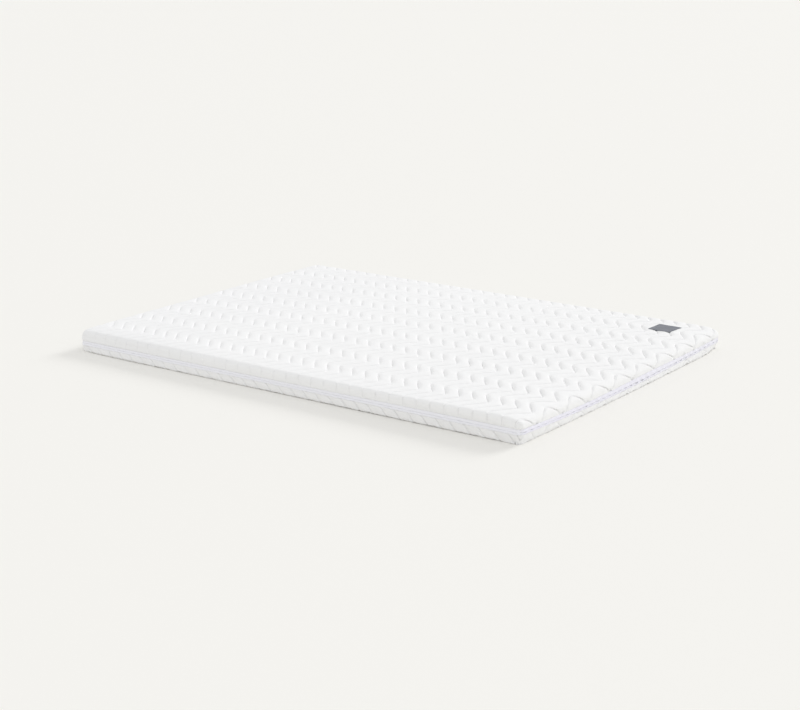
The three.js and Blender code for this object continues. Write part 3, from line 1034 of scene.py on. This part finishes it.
def label_thread():
    """A row of stitches round the label."""
    half_x, half_y = (size / 2 - LABEL_SEAM_INSET for size in LABEL_SIZE)
    corners = np.array([(-half_x, -half_y), (half_x, -half_y), (half_x, half_y), (-half_x, half_y)])
    middles, alongs = [], []
    for here, there in zip(corners, np.roll(corners, -1, axis=0)):
        count = round(np.linalg.norm(there - here) / THREAD.pitch)
        share = (np.arange(2 * count + 1)[:, None]) / (2 * count)
        x, y = (LABEL_PLACE + here + share * (there - here)).T
        plan = np.stack([skewed(x, y), y], axis=-1)
        middle = plan[1::2]
        height = [label.ray_cast((x, y, RAY_START), (0, 0, -1))[1].z for x, y in middle]
        middles.append(np.column_stack([middle, height]))
        alongs.append(np.column_stack([plan[2::2] - plan[:-1:2], 0 * middle[:, 0]]))
    middle = np.concatenate(middles)
    up = np.tile([0, 0, 1.0], (len(middle), 1))
    return stitch_rows("label_thread", middle, np.concatenate(alongs), up)


zip_stitches, label_stitches = zip_thread(), label_thread()
print("zip stitches", len(zip_stitches.data.vertices) // 6)

# %% [markdown]
# ## Shader maths in Python
#
# A procedural finish is mostly arithmetic on coordinates. Written as Python expressions it reads like the
# formula that it is, so one small class stands for a socket and turns each operator into a Math node.
# Every node comes from one method of the finish, which takes the settings first and then the inputs.

# %% Values and finishes
class Value:
    """A number that varies over the surface: an output socket with Python's operators."""

    def __init__(self, finish, socket):
        self.finish, self.socket = finish, socket

    def math(self, operation, *others):
        return self.finish.node("Math", {"operation": operation}, dict(enumerate((self, *others))))

    __add__ = __radd__ = partialmethod(math, "ADD")
    __mul__ = __rmul__ = partialmethod(math, "MULTIPLY")
    __sub__ = partialmethod(math, "SUBTRACT")
    __rsub__ = partialmethod(math, "MULTIPLY_ADD", -1.0)
    __pow__ = partialmethod(math, "POWER")
    __abs__ = partialmethod(math, "ABSOLUTE")
    fraction = partialmethod(math, "FRACT")

    def clamp(self):
        return self.math("MAXIMUM", 0.0).math("MINIMUM", 1.0)

    def wave(self, length):
        """A sine wave of a length in metres."""
        return (self * (2 * math.pi / length)).math("SINE")


class Finish:
    """A procedural material. Looks that are the same all over go on the shader's own sockets."""

    def __init__(self, name, looks):
        self.material = bpy.data.materials.new(name)
        self.material.use_nodes = True
        self.shader = self.material.node_tree.nodes["Principled BSDF"]
        self.fill(self.shader, looks)

    def fill(self, node, inputs):
        """Give each named input its value, or a link from a Value."""
        for name, value in inputs.items():
            if isinstance(value, Value):
                self.material.node_tree.links.new(value.socket, node.inputs[name])
            else:
                node.inputs[name].default_value = value

    def node(self, kind, settings, inputs, output=0):
        """Add a node: its settings first, then its inputs. Gives one of its outputs."""
        node = self.material.node_tree.nodes.new("ShaderNode" + kind)
        for name, value in settings.items():
            setattr(node, name, value)
        self.fill(node, inputs)
        return Value(self, node.outputs[output])

    def places(self):
        """The place on the flat cloth in metres, as a vector and as its two numbers."""
        vector = self.node("UVMap", {"uv_map": "cloth"}, {})
        return vector, *(self.node("SeparateXYZ", {}, {"Vector": vector}, axis) for axis in ("X", "Y"))

    def noise(self, vector, scale, detail=2.0):
        """Soft noise from 0 to 1 with so many bumps a metre."""
        return self.node("TexNoise", {}, {"Vector": vector, "Scale": scale, "Detail": detail}, "Fac")

    def mix(self, share, first, second):
        """A colour between two colours, each a Value or three numbers. Its sockets go by their places."""
        ends = [colour if isinstance(colour, Value) else (*colour, 1) for colour in (first, second)]
        return self.node("Mix", {"data_type": "RGBA"}, {0: share, 6: ends[0], 7: ends[1]}, 2)

    def surface(self, colour, roughness):
        """Colour and roughness that vary over the surface."""
        self.fill(self.shader, {"Base Color": colour, "Roughness": roughness})

    def relief(self, height, depth):
        """A bump of a height from 0 to 1 that is so many metres deep."""
        bump = self.node("Bump", {}, {"Height": height, "Distance": depth, "Strength": 1.0}, "Normal")
        self.fill(self.shader, {"Normal": bump})


# %% [markdown]
# ## The knitted cover
#
# The cover is a white double knit, soft and matt, with the columns of a knit about 1.5 mm wide. Each
# column is a row of small V shapes. The bump below draws one leg of the V as a ridge, mirrored about the
# middle of the column, and cuts it into loops along its length. Knit scatters light at grazing angles,
# which a little sheen gives.
#
# The UV map is the flat panel in metres, so the knit runs straight along the cloth and bends with it
# round the edge. White is never pure: a slow noise shifts it slightly. A painted shade also makes it a
# little darker towards the -X end.

# %% Knit
WALE = 0.0015
COURSE = 0.0013


def knit_finish():
    looks = {"Sheen Weight": 0.12, "Sheen Roughness": 0.5, "Specular IOR Level": 0.25}
    finish = Finish("white_knit", looks)
    vector, along, across = finish.places()
    column = along * (1 / WALE)
    from_middle = abs(column.fraction() - 0.5)
    leg = 1 - abs(from_middle * 4 - 1)
    loops = (across * (1 / COURSE) + from_middle * 1.6).fraction()
    loop_ridge = 1 - (loops * 2 - 1) ** 2
    fluff = finish.noise(vector, 900.0)
    finish.relief(leg * 0.5 + loop_ridge * 0.35 + fluff * 0.3, 0.00014)
    cloudy = finish.noise(vector, 7.0)
    # Painted shade: from 0.3 m left of the middle to the -X end, the white is made a little darker, as
    # weaker light there would make it.
    painted_shade_left = ((-0.30 - along) * 2.0).clamp()
    white = finish.mix(cloudy - 0.8 * painted_shade_left, (0.915, 0.916, 0.920), (0.945, 0.945, 0.945))
    finish.surface(white, 0.82 + 0.12 * fluff)
    return finish.material


knit = knit_finish()

# %% [markdown]
# ## Thread, tape, coil and label cloth
#
# The thread is bright polyester, a little glossier than the knit. The tape is a dense, flat weave with a
# herringbone face: diagonal ribs that change direction along the middle. The length of tape on the +X end
# has taken a little more dye than the rest. The coil is bare nylon, smooth and pale. The label is a fine
# dark weave with a faint sheen, paler where its turned edges have rubbed.

# %% Other finishes
TAPE_RIB = 0.0011
TAPE_WEFT = 0.0006
TAPE_MIDDLE = 0.0040
LABEL_YARN = 0.0007


def thread_finish(name, colour):
    finish = Finish(name, {"Base Color": (*colour, 1), "Sheen Weight": 0.1})
    spot = finish.node("TexCoord", {}, {}, "Object")
    twist = finish.noise(spot, 1800.0)
    finish.relief(twist, 0.00006)
    finish.fill(finish.shader, {"Roughness": 0.45 + 0.2 * twist})
    return finish.material


def tape_finish():
    finish = Finish("woven_tape", {"Sheen Weight": 0.08, "Specular IOR Level": 0.35})
    vector, along, across = finish.places()
    slant = abs(abs(across) - TAPE_MIDDLE)
    rib = (along + slant).wave(TAPE_RIB) * 0.5 + 0.5
    weft = across.wave(TAPE_WEFT) * 0.5 + 0.5
    finish.relief(rib * 0.7 + weft * 0.3, 0.0001)
    dyed = (along * 30 - 0.4).math("MINIMUM", along * -0.55 + 1.3).clamp() * (along * -20 + 29.0).clamp()
    plain = finish.mix(rib * finish.noise(vector, 40.0), (0.930, 0.932, 0.982), (0.948, 0.950, 0.996))
    colour = finish.mix(dyed * (0.8 + 0.2 * rib), plain, (0.895, 0.884, 0.978))
    finish.surface(colour, 0.65 + 0.1 * rib)
    return finish.material


def coil_finish():
    finish = Finish("nylon_coil", {"Specular IOR Level": 0.5})
    spot = finish.node("TexCoord", {}, {}, "Object")
    worn = finish.noise(spot, 60.0)
    shade = finish.mix(worn, (0.84, 0.845, 0.905), (0.89, 0.89, 0.94))
    finish.surface(shade, 0.32 + 0.15 * worn)
    return finish.material


def label_finish():
    looks = {"Sheen Weight": 0.15, "Sheen Roughness": 0.4, "Specular IOR Level": 0.3}
    finish = Finish("label_weave", looks)
    vector, along, across = finish.places()
    weave = along.wave(LABEL_YARN) * across.wave(LABEL_YARN) * 0.5 + 0.5
    finish.relief(weave, 0.00008)
    half_x, half_y = (size / 2 for size in LABEL_SIZE)
    edge = (abs(along) * (1 / half_x)).math("MAXIMUM", abs(across) * (1 / half_y))
    rubbed = edge**24 * (0.4 + 0.6 * finish.noise(vector, 150.0))
    patchy = weave * 0.6 + 0.4 * finish.noise(vector, 30.0)
    dark = finish.mix(patchy, (0.158, 0.168, 0.197), (0.214, 0.225, 0.257))
    colour = finish.mix(rubbed * 0.5, dark, (0.32, 0.33, 0.35))
    finish.surface(colour, 0.7 + 0.15 * weave)
    return finish.material


white_thread = thread_finish("white_thread", (0.93, 0.93, 0.94))
grey_thread = thread_finish("grey_thread", (0.20, 0.21, 0.23))

# %% [markdown]
# ## What each piece stands for
#
# Every piece rides on the one body of the frame. The two halves, the tapes, the coil and the label take
# the place of the plain solids, and the rows of stitches only add to them. Each takes the finish that
# stands beside it in the list.

# %% Finishes, bodies and slots
tape_cloth = tape_finish()
PIECES = [
    (TOP.piece, "cover_top", "quilted_cover", knit),
    (BOTTOM.piece, "cover_bottom", "quilted_cover", knit),
    (upper_tape, "zip_tape_upper", "zip_tape", tape_cloth),
    (lower_tape, "zip_tape_lower", "zip_tape", tape_cloth),
    (zip_coil, "zip_chain", "zip_chain", coil_finish()),
    (label, "label", "label_cloth", label_finish()),
    (TOP.thread, None, "quilted_cover", white_thread),
    (BOTTOM.thread, None, "quilted_cover", white_thread),
    (zip_stitches, None, "zip_tape", white_thread),
    (label_stitches, None, "label_cloth", grey_thread),
]
for piece, node, slot, material in PIECES:
    piece.data.materials.append(material)
    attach(piece, "root")
    if node:
        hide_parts(node)
triangles = {piece.name: sum(len(p.vertices) - 2 for p in piece.data.polygons) for piece, *_ in PIECES}
print("triangles", triangles, "in all", sum(triangles.values()))

# %% [markdown]
# ## Floor and light
#
# The photograph is a product shot on a seamless pale ground, in a bright room of soft light. Nearly all
# the light comes from everywhere, so the world is plain white. One wide, weak sun from behind the
# mattress adds the direction: it brightens one flank of each channel, shades the other, and lays a short
# soft shadow in front. The floor reaches so far that its edge lies at the horizon.
#
# The standard view transform keeps whites white. A filmic one would grey them.

# %% Floor
FLOOR_REACH = 90.0
corners = [(-1, -1), (1, -1), (1, 1), (-1, 1)]
floor = add_mesh("floor", [[FLOOR_REACH * x, FLOOR_REACH * y, 0] for x, y in corners], [[0, 1, 2, 3]])
floor_looks = {"Base Color": (0.905, 0.895, 0.861, 1), "Roughness": 0.9}
floor.data.materials.append(Finish("floor", floor_looks).material)

# %% Light
WORLD_STRENGTH = 0.856
KEY_STRENGTH = 0.99
KEY_WIDTH = 22.0
KEY_HEADING, KEY_ELEVATION = 76.0, 27.0

bpy.context.scene.view_settings.view_transform = "Standard"
world = bpy.data.worlds.new("soft_room")
world.use_nodes = True
background = world.node_tree.nodes["Background"]
background.inputs["Color"].default_value = (1, 1, 1, 1)
background.inputs["Strength"].default_value = WORLD_STRENGTH
bpy.context.scene.world = world

key_data = bpy.data.lights.new("key", "SUN")
key_data.energy = KEY_STRENGTH
key_data.angle = math.radians(KEY_WIDTH)
add_turned("key", key_data, KEY_ELEVATION, KEY_HEADING + 90)
print("key light", KEY_WIDTH, "degrees wide, from", KEY_HEADING, "degrees")
